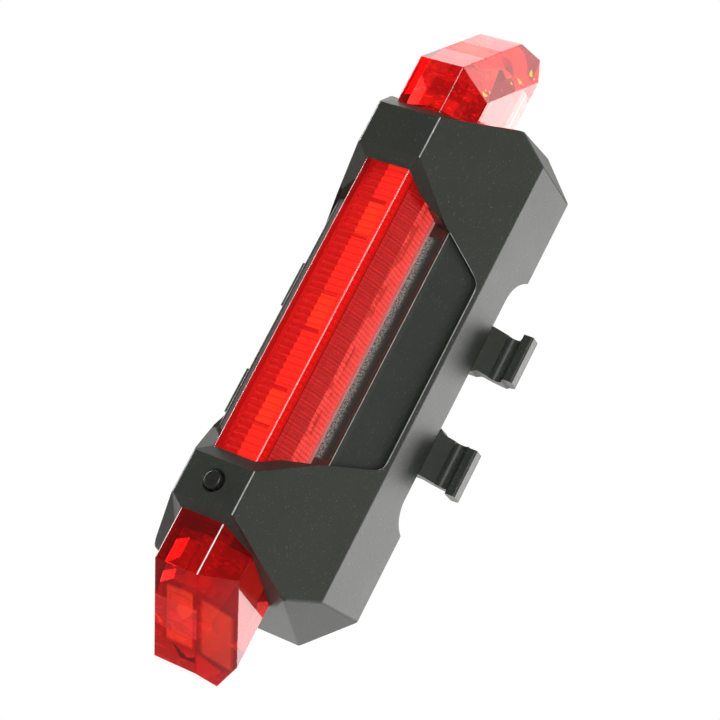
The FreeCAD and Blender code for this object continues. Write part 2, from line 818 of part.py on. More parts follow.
def led_packages():
    leds = []
    for z in led_places:
        body = block(-led_width / 2, led_width / 2, board_front - led_height, board_front,
                     z - led_length / 2, z + led_length / 2)
        cup = block(-led_window_width / 2, led_window_width / 2, board_front - led_height - 1,
                    board_front - led_height + led_cup_depth,
                    z - led_window_length / 2, z + led_window_length / 2)
        leds.append(body.cut(cup))
    return group(leds)


def led_phosphors():
    drops = []
    half = led_window_width / 2 - seat_gap
    length = led_window_length / 2 - seat_gap
    floor = board_front - led_height + led_cup_depth
    for z in led_places:
        drops.append(block(-half, half, floor - led_cup_depth * 0.7, floor, z - length, z + length))
    return group(drops)


def reflector_tray():
    """White tray over the board, with a flared window round each lamp behind the window."""
    tray = block(-tray_half_width, tray_half_width, tray_front, board_front,
                 -tray_half_length, tray_half_length)
    tray = tray.cut(block(-tray_half_width + tray_rim, tray_half_width - tray_rim,
                          tray_front + tray_face, board_front + 1,
                          -tray_half_length + tray_rim, tray_half_length - tray_rim))
    for z in led_places:
        if abs(z) > tray_half_length:
            continue
        corners = ((1, 1), (-1, 1), (-1, -1), (1, -1))
        wide = [V(sx * (led_width / 2 + tray_flare * 0.6), tray_front - 0.01,
                  z + sz * (led_length / 2 + tray_flare)) for sx, sz in corners]
        tight = [V(sx * (led_width / 2 + seat_gap), tray_front + tray_face + 0.01,
                   z + sz * (led_length / 2 + seat_gap)) for sx, sz in corners]
        funnel = Part.makeLoft([Part.makePolygon(wide + wide[:1]),
                                Part.makePolygon(tight + tight[:1])], True, True)
        tray = tray.cut(funnel)
    return tray


def resistors():
    rear = board_front + board_thickness
    chips = []
    for z in resistor_places:
        for x in (resistor_x, -resistor_x):
            chips.append(block(x - resistor_length / 2, x + resistor_length / 2, rear,
                               rear + resistor_height, z - resistor_width / 2, z + resistor_width / 2))
    return group(chips)


def controller_chip():
    rear = board_front + board_thickness
    return block(-chip_width / 2, chip_width / 2, rear + chip_stand, rear + chip_stand + chip_height,
                 chip_z - chip_length / 2, chip_z + chip_length / 2)


def chip_legs():
    rear = board_front + board_thickness
    legs = []
    for i in range(4):
        z = chip_z + (i - 1.5) * leg_pitch
        foot = block(chip_width / 2, chip_width / 2 + leg_reach, rear, rear + 0.2,
                     z - leg_width / 2, z + leg_width / 2)
        neck = block(chip_width / 2, chip_width / 2 + 0.3, rear, rear + 0.75,
                     z - leg_width / 2, z + leg_width / 2)
        leg = foot.fuse(neck)
        legs += [leg, mirrored(leg, V(1, 0, 0))]
    return group(legs)


def charger_chip():
    rear = board_front + board_thickness
    return block(-charger_width / 2, charger_width / 2, rear, rear + charger_height,
                 charger_z - charger_length / 2, charger_z + charger_length / 2)


def battery_cell():
    cell = block(-cell_half_width, cell_half_width, cell_front, cell_front + cell_thickness,
                 cell_bottom_z, cell_top_z)
    along = [e for e in cell.Edges if near(abs(e.tangentAt(0).z), 1)]
    return cell.makeFillet(cell_radius, along)


def battery_board():
    return block(-cell_board_half_width, cell_board_half_width, cell_board_front,
                 cell_board_front + cell_board_thickness,
                 cell_bottom_z - cell_board_length, cell_bottom_z)


def battery_lead(side):
    """A short insulated wire from the cell's board to a pad on the lamp board."""
    x = side * lead_x
    z = cell_bottom_z - cell_board_length / 2
    return rod(lead_radius, x, z, board_front + board_thickness, cell_board_front)


def foam_pad():
    front = cell_front + cell_thickness
    half = cell_half_width - foam_side_inset
    return block(-half, half, front, cover_front,
                 cell_bottom_z + foam_end_inset, cell_top_z - foam_end_inset)


def usb_socket():
    rear = board_front + board_thickness
    w = socket_width / 2
    h = socket_height / 2
    shell = plan_prism([(w, port_z + h, 0.5), (w - 0.9, port_z - h, 0.4), (-w + 0.9, port_z - h, 0.4),
                        (-w, port_z + h, 0.5)], rear, socket_rear)
    w -= socket_wall
    h -= socket_wall
    bore = plan_prism([(w - 0.1, port_z + h, 0.3), (w - 0.95, port_z - h, 0.2),
                       (-w + 0.95, port_z - h, 0.2), (-w + 0.1, port_z + h, 0.3)],
                      rear + 0.8, socket_rear + 1)
    return shell.cut(bore)


def usb_tongue():
    rear = board_front + board_thickness
    return block(-tongue_width / 2, tongue_width / 2, rear + 0.8, tongue_rear,
                 port_z + 0.1, port_z + 0.1 + tongue_thickness)


def usb_contacts():
    rear = board_front + board_thickness
    strips = []
    for i in range(contact_count):
        x = (i - (contact_count - 1) / 2) * contact_pitch
        strips.append(block(x - contact_width / 2, x + contact_width / 2, rear + 1.4,
                            tongue_rear - 0.3, port_z + 0.1 - contact_thickness, port_z + 0.1))
    return group(strips)


def port_flap():
    """Rubber flap with a plug that fills the socket's opening."""
    rear = cover_front + cover_thickness
    front = rear - flap_thickness
    half = flap_width / 2
    plate = plan_prism([(half, flap_bottom_z, flap_corner), (half, flap_hinge_z - 0.05),
                        (-half, flap_hinge_z - 0.05), (-half, flap_bottom_z, flap_corner)],
                       front, rear)
    plug_w = port_width / 2 - 0.15
    plug_h = port_height / 2 - 0.3
    plug = plan_prism([(plug_w, port_z + plug_h, 0.6), (plug_w, port_z - plug_h, 0.6),
                       (-plug_w, port_z - plug_h, 0.6), (-plug_w, port_z + plug_h, 0.6)],
                      front - plug_depth, front)
    hollow = plan_prism([(plug_w - 0.7, port_z + plug_h - 0.6), (plug_w - 0.7, port_z - plug_h + 0.6),
                         (-plug_w + 0.7, port_z - plug_h + 0.6), (-plug_w + 0.7, port_z + plug_h - 0.6)],
                        front - plug_depth - 1, front)
    return plate.fuse(plug.cut(hollow)).removeSplitter()


def flap_anchor():
    """The fixed root of the flap, pressed into the end of its recess."""
    rear = cover_front + cover_thickness
    half = flap_width / 2
    return block(-half, half, rear - flap_thickness, rear, flap_hinge_z + 0.05,
                 flap_hinge_z + anchor_length)


def all_pieces():
    return {
        "front_housing": front_housing(),
        "lens_body": lens_body(),
        "crystal_backs": crystal_backs(),
        "reflector_tray": reflector_tray(),
        "led_board": led_board(),
        "led_packages": led_packages(),
        "led_phosphors": led_phosphors(),
        "resistors": resistors(),
        "controller_chip": controller_chip(),
        "chip_legs": chip_legs(),
        "charger_chip": charger_chip(),
        "switch_base": switch_base(),
        "switch_frame": switch_frame(),
        "switch_terminals": switch_terminals(),
        "switch_plunger": switch_plunger(),
        "button_cap": button_cap(),
        "button_boot": button_boot(),
        "battery_cell": battery_cell(),
        "battery_board": battery_board(),
        "lead_red": battery_lead(1),
        "lead_black": battery_lead(-1),
        "foam_pad": foam_pad(),
        "usb_socket": usb_socket(),
        "usb_tongue": usb_tongue(),
        "usb_contacts": usb_contacts(),
        "cover_seal": cover_seal(),
        "rear_cover": rear_cover(),
        "cover_screws": cover_screws(),
        "saddle_pad": saddle_pad(),
        "port_flap": port_flap(),
        "flap_anchor": flap_anchor(),
    }


def main():
    os.makedirs("parts", exist_ok=True)
    origin_depth = cover_front + cover_thickness - pad_recess + pad_thickness
    for name, shape in all_pieces().items():
        shape.translate(V(0, -origin_depth, 0))
        shape.exportStep("parts/" + name + ".step")
        print(name, len(shape.Solids), shape.isValid(), round(shape.Volume, 2))


main()
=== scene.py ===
import json
import math
import bmesh
import bpy
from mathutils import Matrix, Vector


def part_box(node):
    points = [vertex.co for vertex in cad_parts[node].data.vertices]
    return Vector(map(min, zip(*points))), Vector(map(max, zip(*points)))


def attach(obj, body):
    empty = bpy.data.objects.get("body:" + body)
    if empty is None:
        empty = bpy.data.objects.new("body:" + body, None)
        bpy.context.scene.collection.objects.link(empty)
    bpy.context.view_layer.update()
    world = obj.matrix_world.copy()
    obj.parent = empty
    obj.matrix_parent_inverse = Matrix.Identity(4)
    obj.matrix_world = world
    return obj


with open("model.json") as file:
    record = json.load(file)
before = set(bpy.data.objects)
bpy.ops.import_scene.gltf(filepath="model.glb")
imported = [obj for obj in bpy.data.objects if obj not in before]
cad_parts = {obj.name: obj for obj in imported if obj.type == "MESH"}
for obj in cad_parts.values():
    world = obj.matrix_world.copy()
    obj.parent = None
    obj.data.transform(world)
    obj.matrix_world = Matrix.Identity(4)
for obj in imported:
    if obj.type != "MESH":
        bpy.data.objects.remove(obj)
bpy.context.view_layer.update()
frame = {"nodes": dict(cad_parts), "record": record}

print("model loaded")

# Sizes are in millimetres, measured as the part's source does: x across, depth behind the
# housing's front face, z along the light with the button's end below.
# A noise is written as its scale, detail, roughness and sometimes its stretch, a band as the
# value where it starts, the value where it ends and the width over which it fades, and stripes
# as their pitch, where between 0 and 1 a line starts and over how much it fades.
mm = 0.001
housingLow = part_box("front_housing")[0]
lensLow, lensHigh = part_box("lens_body")
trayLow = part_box("reflector_tray")[0]
originDepth = -housingLow.y / mm
lensFront = lensLow.y / mm + originDepth
lensRear = lensHigh.y / mm + originDepth
lensHalfWidth = lensHigh.x / mm
lampPlaces = (11.0, 0.0, -11.0)     # z of the three lamps behind the window
shoulder = 3.74                     # from the red body's front to the foot of its front slopes inside


class Sock:
    # wraps a socket, so that sums and products of sockets read as plain maths

    def __init__(self, shade, socket):
        self.shade = shade
        self.socket = socket

    def maths(self, operation, other=0.0, swap=False):
        first, second = (other, self) if swap else (self, other)
        return self.shade.node("ShaderNodeMath", {"operation": operation}, {0: first, 1: second})[0]

    def __add__(self, other):
        return self.maths("ADD", other)

    __radd__ = __add__

    def __sub__(self, other):
        return self.maths("SUBTRACT", other)

    def __rsub__(self, other):
        return self.maths("SUBTRACT", other, True)

    def __mul__(self, other):
        return self.maths("MULTIPLY", other)

    __rmul__ = __mul__

    def __truediv__(self, other):
        return self.maths("DIVIDE", other)

    def __gt__(self, other):
        return self.maths("GREATER_THAN", other)

    def __lt__(self, other):
        return self.maths("LESS_THAN", other)

    def size(self):
        return self.maths("ABSOLUTE")

    def sign(self):
        return self.maths("SIGN")

    def least(self, other):
        return self.maths("MINIMUM", other)

    def zigzag(self, height):
        # climbs from 0 to the height and back again, over and over
        return self.maths("PINGPONG", height)


class Shade:
    # one material: its constants go on the shader, everything else through node()

    def __init__(self, name, **constants):
        self.material = bpy.data.materials.new(name)
        self.material.use_nodes = True
        self.tree = self.material.node_tree
        self.tree.nodes.clear()
        self.shader = self.tree.nodes.new("ShaderNodeBsdfPrincipled")
        self.output = self.tree.nodes.new("ShaderNodeOutputMaterial")
        self.tree.links.new(self.shader.outputs[0], self.output.inputs["Surface"])
        for key, value in constants.items():
            self.feed(key.replace("_", " "), value)

    def put(self, target, value):
        if isinstance(value, Sock):
            self.tree.links.new(value.socket, target)
        elif isinstance(value, (tuple, list)) and target.type == "RGBA" and len(value) == 3:
            target.default_value = (*value, 1.0)
        else:
            target.default_value = value

    def feed(self, name, value):
        self.put(self.shader.inputs[name], value)

    def node(self, kind, settings=None, inputs=None):
        made = self.tree.nodes.new(kind)
        for key, value in (settings or {}).items():
            setattr(made, key, value)
        for key, value in (inputs or {}).items():
            self.put(made.inputs[key], value)
        return [Sock(self, out) for out in made.outputs]

    def place(self):
        return self.node("ShaderNodeTexCoord")[3]

    def axes(self, vector):
        return self.node("ShaderNodeSeparateXYZ", None, {0: vector})

    def noise(self, scale, detail, roughness, stretch=None):
        where = self.place()
        if stretch:
            where = self.node("ShaderNodeMapping", None, {"Vector": where, "Scale": stretch})[0]
        return self.node("ShaderNodeTexNoise", None,
                         {"Vector": where, "Scale": scale, "Detail": detail, "Roughness": roughness})[0]

    def mix(self, factor, first, second):
        return self.node("ShaderNodeMix", {"data_type": "RGBA"}, {0: factor, 6: first, 7: second})[2]

    def ramp(self, value, start, end):
        # 0 up to the start, 1 from the end on
        return self.node("ShaderNodeMapRange", None,
                         {"Value": value, "From Min": start, "From Max": end})[0]

    def band(self, value, low, high, soft):
        # 1 where the value lies between low and high, falling to 0 over the soft width
        return self.ramp(value, low - soft, low) * self.ramp(value, high + soft, high)

    def stripes(self, value, pitch, start, soft):
        # lines that repeat by the pitch: a start near 1 makes them thin, near 0 wide
        half = pitch / 2
        return self.band(value.zigzag(half) / half, start, 1.0, soft)

    def coat(self, colour, roughness, glow, strength):
        # a second surface for blend()
        return self.node("ShaderNodeBsdfPrincipled", None,
                         {"Base Color": colour, "Roughness": roughness, "Emission Color": glow,
                          "Emission Strength": strength})[0]

    def blend(self, factor, first, second):
        return self.node("ShaderNodeMixShader", None, {0: factor, 1: first, 2: second})[0]

    def bump(self, height, strength, distance):
        normal = self.node("ShaderNodeBump", None,
                           {"Height": height, "Strength": strength, "Distance": distance})[0]
        self.feed("Normal", normal)


class Spot:
    # where a point lies on the light in millimetres, and which way its surface faces

    def __init__(self, shade):
        self.x, self.y, self.z = (axis / mm for axis in shade.axes(shade.place()))
        self.nx, self.ny, self.nz = shade.axes(shade.node("ShaderNodeTexCoord")[1])
        self.across = self.x.size()
        self.along = self.z.size()
        self.depth = self.y + originDepth


blackPlasticLook = {
    "dark": (0.026, 0.029, 0.022),
    "light": (0.041, 0.044, 0.036),
    "grain": (5200.0, 3.0, 0.6),
    "cloud": (190.0, 3.0, 0.55),
    "grainShare": 0.6,
    "leastRough": 0.32,
    "grainRough": 0.12,
    "cloudRough": 0.08,
    "bumpStrength": 0.35,
    "bumpHeight": 0.00004,
    "dust": (0.20, 0.20, 0.18),
    "dustGrain": (5200.0, 1.0, 0.4),
    "dustBand": (0.72, 1.0, 0.03),
    "dustShare": 0.3,
    # painted highlights on the edges, which are also glossier
    "edgeHighlight": (0.62, 0.62, 0.58),
    "edgeHighlightShare": 0.8,
    "edgeGloss": 0.26,
    "highlightBreakup": (2400.0, 2.0, 0.6, (1.0, 1.0, 0.35)),
    "highlightBreakupGain": 1.3,
    "highlightBreakupLeast": 0.1,
    "ridgeTurn": (0.40, 0.54, 0.08),
    "ridgeLean": 0.25,
    "forward": -0.3,
    "bridgeHalfWidth": 4.3,
    "bridgeDepth": 0.6,
    "railFrom": 6.6,
    "railTo": 7.3,
    # outline of the side panels, which are darkened with painted shade
    "deep": (0.008, 0.010, 0.007),
    "panelShade": 0.35,
    "panelEdge": 10.05,
    "panelCorner": (9.13, 11.9),
    "panelFoot": (6.87, 14.0),
    "panelRadius": 1.1,
    "rimBand": (0.03, 0.05, 0.03),
    "slantMargin": 0.2,
    # the valleys beside the red body
    "valley": (0.024, 0.052, 0.044),
    "valleyBand": (4.5, 6.3, 0.3),
    "valleyHalfLength": 13.0,
    "valleyDepth": 3.6,
    "valleyRough": 0.4,
    "glint": (0.66, 0.80, 0.76),
    "glintGrain": (5200.0, 2.0, 0.8),
    "glintBand": (0.72, 1.0, 0.34),
    "glintNear": (4.3, 4.95, 0.8),
    "glintTo": 6.3,
    "glintDepth": 4.6,
    "glintShare": 0.75,
}


def edgeHighlights(shade, spot, look):
    # painted highlights on the long front ridges, the rails and the outer edges of the side panels
    forward = spot.ny < look["forward"]
    bridge = (spot.across < look["bridgeHalfWidth"]) * (spot.depth < look["bridgeDepth"])
    rail = (spot.across > look["railFrom"]) * (spot.across < look["railTo"])
    ridge = shade.band(spot.nx * spot.x.sign(), *look["ridgeTurn"]) * (spot.nz.size() < look["ridgeLean"])
    ridge = ridge * forward * (bridge + rail)
    cornerX, cornerZ = look["panelCorner"]
    footX, footZ = look["panelFoot"]
    run = math.hypot(cornerX - footX, cornerZ - footZ)
    side = spot.across - look["panelEdge"]
    slant = (spot.across - cornerX) * ((footZ - cornerZ) / run)
    slant = slant + (spot.along - cornerZ) * ((cornerX - footX) / run)
    edge = shade.node("ShaderNodeMath", {"operation": "SMOOTH_MAX"},
                      {0: side, 1: slant, 2: look["panelRadius"]})[0]
    beyondRail = spot.across > look["railTo"]
    rim = shade.band(edge, *look["rimBand"]) * forward * beyondRail
    # the slanted edges next to the button get no painted highlight
    rim = rim * (1.0 - (slant > side + look["slantMargin"]) * (spot.z < 0.0))
    return (ridge + rim).least(1.0), (edge < 0.0) * beyondRail


def valleyGlints(shade, spot, look):
    # painted glints: coarse bright grains of highlight in the valley, right beside the red body
    near = shade.band(spot.across, *look["glintNear"]) * (spot.along < look["valleyHalfLength"])
    near = near * (spot.across < look["glintTo"]) * (spot.depth > look["glintDepth"])
    grains = shade.band(shade.noise(*look["glintGrain"]), *look["glintBand"])
    return grains * near * near * look["glintShare"]


def blackPlastic(name, look, edges):
    # fine satin grain with a little dust
    shade = Shade(name, IOR=1.5)
    grain = shade.noise(*look["grain"])
    cloud = shade.noise(*look["cloud"])
    dust = shade.band(shade.noise(*look["dustGrain"]), *look["dustBand"])
    patch = grain * look["grainShare"] + cloud * (1.0 - look["grainShare"])
    colour = shade.mix(patch, look["dark"], look["light"])
    colour = shade.mix(dust * look["dustShare"], colour, look["dust"])
    rough = grain * look["grainRough"] + cloud * look["cloudRough"] + look["leastRough"]
    if edges:
        spot = Spot(shade)
        valley = shade.band(spot.across, *look["valleyBand"]) * (spot.along < look["valleyHalfLength"])
        valley = valley * (spot.depth > look["valleyDepth"])
        colour = shade.mix(valley, colour, look["valley"])
        rough = rough + valley * look["valleyRough"]
        # painted highlights on the edges, broken up by noise, where the edges are also glossier
        edgeHighlight, panel = edgeHighlights(shade, spot, look)
        edgeHighlight = edgeHighlight * (shade.noise(*look["highlightBreakup"]) * look["highlightBreakupGain"] + look["highlightBreakupLeast"]).least(1.0)
        # painted shade darkens the side panels
        colour = shade.mix(panel * look["panelShade"], colour, look["deep"])
        colour = shade.mix(edgeHighlight * look["edgeHighlightShare"], colour, look["edgeHighlight"])
        colour = shade.mix(valleyGlints(shade, spot, look), colour, look["glint"])
        rough = rough - edgeHighlight * look["edgeGloss"]
    shade.feed("Base Color", colour)
    shade.feed("Roughness", rough)
    shade.bump(grain, look["bumpStrength"], look["bumpHeight"])
    return shade.material


redLensLook = {
    "clear": (1.0, 0.96, 0.95),
    "tint": (1.0, 0.12, 0.07),
    "density": 520.0,
    "roughness": 0.02,
    "wave": (260.0, 2.0, 0.5),
    "waveRough": 0.03,
    "waveStrength": 0.4,
    "waveHeight": 0.000012,
    "glow": (0.06, 0.0008, 0.0008),
    # ribs inside the window, measured from the red body's front
    "ribFrom": 1.24,
    "ribTo": 1.75,
    "ribHalfLength": 17.4,
    "ribHalfWidth": 3.4,
    "ribTone": (0.96, 0.42, 0.34),
    "ribDark": (0.62, 0.015, 0.012),
    "ribRough": 0.45,
    "ribLit": (0.86, 0.052, 0.030),
    "ribCover": 0.6,
    "crestFrom": 1.5,
    "crestLit": (0.10, 0.002, 0.002),
    "crestShare": 0.5,
    "crestShareFar": 0.9,
    "crestDark": 0.6,
    "farFrom": 0.35,
    "farTone": (0.50, 0.020, 0.018),
    "farLit": (0.20, 0.005, 0.005),
    "block": (1.0, 0.66, 0.36),
    "blockLit": (1.0, 0.085, 0.028),
    "blockLine": (0.20, 0.004, 0.004),
    "blockHalfWidth": 1.5,
    "blockHalfLength": 1.9,
    "blockLineWidth": 0.4,
    "blockLineSoft": 0.08,
    "blockLineShare": 0.8,
    # slopes inside the window
    "slopeFrom": 1.95,
    "slopeHalfWidth": 3.5,
    "slopeTo": 3.85,
    "slopeStripes": (0.36, 0.6, 0.25),
    "stripeShare": 0.55,
    "teeth": (0.75, 0.5, 0.15),
    "toothCover": 0.6,
    "shoulderBand": (-0.12, 0.08, 0.02),
    "shoulderWidth": 0.1,
    "shoulderLine": (1.0, 0.16, 0.09),
    "shoulderShare": 0.7,
    "shoulderRough": 0.4,
    "shoulderGlow": 0.2,
    # outer edges and sides
    "edgeShade": (0.42, 0.030, 0.028),
    "edgeShadeFrom": 0.02,
    "edgeShadeTo": 0.85,
    "sideways": 0.7,
    "edge": (1.0, 0.80, 0.79),
    "edgeTurn": (0.26, 0.62, 0.04),
    "edgeLean": 0.12,
    "edgeForward": -0.5,
    "edgeDepth": 0.9,
    "edgeShareLow": 1.0,
    "edgeShareWindow": 0.36,
    "edgeShareHigh": 0.12,
    "windowEnd": 20.0,
    "highlightBreakup": (1700.0, 2.0, 0.6, (1.0, 1.0, 0.3)),
    "highlightBreakupGain": 1.2,
    "highlightBreakupLeast": 0.25,
    "paleRough": 0.25,
    "paleGlow": 0.25,
    "wallHazeGlow": 0.26,
    "wallFoot": (6.05, 6.35),
    "wallFacing": 0.95,
    # both ends
    "endFrom": 22.5,
    "frontTone": (0.80, 0.30, 0.30),
    "frontForward": -0.4,
    "frontLean": 0.3,
    "lowTone": (0.34, 0.040, 0.035),
    "lowShare": 0.9,
    "lowGlow": (0.07, 0.001, 0.001),
    "lowGlowTo": 30.0,
    "streak": (0.16, 0.004, 0.006),
    "streakShare": 0.8,
    "streakForward": -0.3,
    "streakCloud": (620.0, 3.0, 0.7, (0.55, 1.0, 1.7)),
    "streakBand": (0.45, 0.60, 0.06),
    # painted glowing panes, framed by painted shadow, in the lower end's chamfer and corner facets, with
    # heights measured downwards
    "paneGlow": (0.40, 0.026, 0.010),
    "paneCloud": (260.0, 3.0, 0.6),
    "paneCloudGain": 0.9,
    "paneCloudLeast": 0.4,
    "paneHeight": (31.4, 35.4, 0.3),
    "chamferPane": (-1.0, 2.1, 0.2),
    "cornerPane": (3.1, 4.5, 0.25),
    "ringHeight": (31.75, 34.9, 0.05),
    "ringWidth": (-0.65, 1.75, 0.05),
    "ringShare": 0.5,
    "ringShade": 0.6,
    "surroundHeight": (30.8, 35.9, 0.2),
    "surroundWidth": (-1.6, 2.6, 0.1),
    "surroundCorner": 2.6,
    "surroundShare": 0.6,
    "chamferLean": 0.5,
    "chamferTurn": 0.2,
    "cornerLean": 0.25,
    "cornerTurn": 0.5,
    "cornerForward": -0.2,
    # painted light on the upper end: a glowing haze and yellow sparks
    "hazeGlow": 0.18,
    "hazeGlowFrom": 26.5,
    "hazeGlowLean": 0.25,
    "hazeGlowTurn": 0.5,
    "spark": (1.0, 0.72, 0.10),
    "sparkCloud": (1100.0, 1.0, 0.5),
    "sparkBand": (0.68, 1.0, 0.04),
    "sparkFrom": 4.1,
    "sparkShare": 0.7,
    # painted glow on the roofs of the hollows in both ends
    "roofDepths": (2.9, 5.3),
    "roofStart": 25.0,
    "roofFacing": 0.5,
    "roofCover": 0.55,
    "fleck": (0.78, 0.012, 0.036),
    "fleckDark": (0.12, 0.002, 0.004),
    "fleckWarm": (0.95, 0.080, 0.020),
    "fleckCloud": (760.0, 3.0, 0.7, (0.5, 1.0, 1.8)),
    "fleckBand": (0.47, 0.58, 0.05),
    "warmCloud": (330.0, 2.0, 0.5),
    "warmBand": (0.58, 1.0, 0.06),
    "fleckShadeLow": 0.6,
    "lampWindow": (26.9, 29.2, 0.1),
    "lampWindowHalf": 1.3,
    "lampWindowDark": (0.03, 0.0005, 0.001),
    "lampWindowCover": 0.35,
    "litRough": 0.5,
}


def windowRibs(shade, spot, behind, look):
    # what the ribs inside the window look like: the colour of the plastic, the painted light they seem to
    # send back out, where the ribs are and how far they hide the clear plastic
    inWindow = (behind > look["ribFrom"]) * (spot.along < look["ribHalfLength"])
    ribs = inWindow * (behind < look["ribTo"]) * (spot.across < look["ribHalfWidth"])
    crest = ribs * (behind > look["crestFrom"])
    # painted shade: the far side of the ribs is painted dark, with a darker painted line on every crest
    far = ribs * (spot.x < -look["farFrom"])
    lit = shade.mix(far, look["ribLit"], look["farLit"])
    tone = shade.mix(ribs, look["clear"], look["ribTone"])
    halfLength = look["blockHalfLength"]
    middle = ribs * (spot.across < look["blockHalfWidth"])
    for place in lampPlaces:
        # painted light: a lit block in front of the lamp, with a painted dark line of shade at either end
        fromLamp = (spot.z - place).size()
        block = middle * (fromLamp < halfLength)
        line = middle * shade.band(fromLamp, halfLength, halfLength + look["blockLineWidth"],
                                   look["blockLineSoft"])
        tone = shade.mix(block, tone, look["block"])
        tone = shade.mix(line, tone, look["blockLine"])
        lit = shade.mix(block * (1.0 - far), lit, look["blockLit"])
        lit = shade.mix(line * look["blockLineShare"], lit, look["crestLit"])
    crestShare = far * (look["crestShareFar"] - look["crestShare"]) + look["crestShare"]
    lit = shade.mix(crest * crestShare, lit, look["crestLit"])
    tone = shade.mix(crest * look["crestDark"], tone, look["ribDark"])
    tone = shade.mix(far, tone, look["farTone"])
    # finer stripes of painted shade on the slopes beside the ribs, and the far slope painted dark with dark
    # teeth
    slope = inWindow * (behind < look["slopeTo"]) * (spot.across > look["slopeFrom"])
    slope = slope * (spot.across < look["slopeHalfWidth"])
    stripes = shade.stripes(spot.z, *look["slopeStripes"]) * slope
    tone = shade.mix(stripes * look["stripeShare"], tone, look["ribDark"])
    farSlope = slope * (spot.x < 0.0)
    lit = shade.mix(farSlope, lit, look["farLit"])
    lit = shade.mix(shade.stripes(spot.z, *look["teeth"]) * farSlope, lit, look["crestLit"])
    return tone, lit, ribs, ribs * look["ribCover"] + farSlope * look["toothCover"]


def endFacets(shade, spot, tone, look):
    # both ends are deeper and streaked on their front faces, and the lower one is deep all over, a painted
    # shade
    inEnds = spot.along > look["endFrom"]
    upright = (spot.nz.size() < look["frontLean"]) * inEnds
    tone = shade.mix(upright * (spot.ny < look["frontForward"]), tone, look["frontTone"])
    down = spot.z * -1.0
    tone = shade.mix((down > look["endFrom"]) * look["lowShare"], tone, look["lowTone"])
    streaks = shade.band(shade.noise(*look["streakCloud"]), *look["streakBand"])
    streaks = streaks * upright * (spot.ny < look["streakForward"])
    tone = shade.mix(streaks * look["streakShare"], tone, look["streak"])
    # painted glow: orange panes on the lower end's chamfer and corner facets stand in for its hollow
    # glowing through them, framed by painted shadow
    turn, lean = spot.nx.size(), spot.nz.size()
    chamfer = (spot.ny < look["frontForward"]) * (lean > look["chamferLean"]) * (turn < look["chamferTurn"])
    corner = (spot.ny < look["cornerForward"]) * (lean > look["cornerLean"]) * (turn > look["cornerTurn"])
    pane = chamfer * shade.band(spot.x, *look["chamferPane"])
    pane = pane + corner * shade.band(spot.across, *look["cornerPane"])
    pane = pane * shade.band(down, *look["paneHeight"])
    inner = chamfer * shade.band(spot.x, *look["ringWidth"]) * shade.band(down, *look["ringHeight"])
    ring = inner * (1.0 - inner) * 4.0      # 1 half way down the fading edge of the inner field
    surround = chamfer * shade.band(spot.x, *look["surroundWidth"])
    surround = surround + corner * (spot.across > look["surroundCorner"])
    surround = surround * shade.band(down, *look["surroundHeight"]) * (1.0 - pane)
    shadow = (surround * look["surroundShare"] + ring * look["ringShare"]).least(1.0)
    tone = shade.mix(shadow, tone, look["streak"])
    # painted glow: the whole lens glows faintly, the lower end more
    glow = shade.mix(shade.ramp(down, look["endFrom"], look["lowGlowTo"]), look["glow"], look["lowGlow"])
    uneven = shade.noise(*look["paneCloud"]) * look["paneCloudGain"] + look["paneCloudLeast"]
    paneShare = (pane * (1.0 - ring * look["ringShade"]) * uneven).least(1.0)
    return tone, shade.mix(paneShare, glow, look["paneGlow"])


def palePaintedLight(shade, spot, behind, look):
    # the rounded front edges get a painted pale highlight line in a matt coat
    edge = shade.band(spot.nx.size(), *look["edgeTurn"]) * (spot.nz.size() < look["edgeLean"])
    edge = edge * (spot.ny < look["edgeForward"]) * (behind < look["edgeDepth"])
    share = (spot.z < -look["windowEnd"]) * (look["edgeShareLow"] - look["edgeShareWindow"])
    share = share - (spot.z > look["windowEnd"]) * (look["edgeShareWindow"] - look["edgeShareHigh"])
    highlightBreakup = (shade.noise(*look["highlightBreakup"]) * look["highlightBreakupGain"] + look["highlightBreakupLeast"]).least(1.0)
    # painted light on the upper end's corner facets: a pale glowing haze, with small painted yellow sparks
    # of its lamp
    glowingHaze = (spot.nx.size() > look["hazeGlowTurn"]) * (spot.nz > look["hazeGlowLean"]) * (spot.z > look["hazeGlowFrom"])
    sparks = shade.band(shade.noise(*look["sparkCloud"]), *look["sparkBand"])
    sparks = sparks * glowingHaze * (spot.across > look["sparkFrom"])
    # the foot of the side walls, down in the valleys, gets the pale glowing haze too
    wall = shade.ramp(behind, *look["wallFoot"]) * (spot.nx.size() > look["wallFacing"])
    wall = wall * (spot.along < look["ribHalfLength"])
    cover = edge * highlightBreakup * (share + look["edgeShareWindow"]) + glowingHaze * look["hazeGlow"]
    cover = cover + sparks * look["sparkShare"] + wall * look["wallHazeGlow"]
    return shade.mix(sparks, look["edge"], look["spark"]), cover.least(1.0)


def endRoofs(shade, spot, behind, lit, look):
    # painted glow on the roofs of the end hollows, mottled, with painted shade on the lower one, and the
    # upper one shows its lamp's dark window
    roofFrom, roofTo = look["roofDepths"]
    roof = (behind > roofFrom) * (behind < roofTo) * (spot.ny.size() > look["roofFacing"])
    roof = roof * (spot.along > look["roofStart"]) * (spot.across < look["ribHalfWidth"])
    mottle = shade.band(shade.noise(*look["fleckCloud"]), *look["fleckBand"])
    warm = shade.band(shade.noise(*look["warmCloud"]), *look["warmBand"])
    fleck = shade.mix(warm, shade.mix(mottle, look["fleck"], look["fleckDark"]), look["fleckWarm"])
    fleck = shade.mix((spot.z < 0.0) * look["fleckShadeLow"], fleck, look["fleckDark"])
    opening = roof * (spot.across < look["lampWindowHalf"]) * shade.band(spot.z, *look["lampWindow"])
    lit = shade.mix(roof, lit, shade.mix(opening, fleck, look["lampWindowDark"]))
    return lit, roof * look["roofCover"] + opening * look["lampWindowCover"]


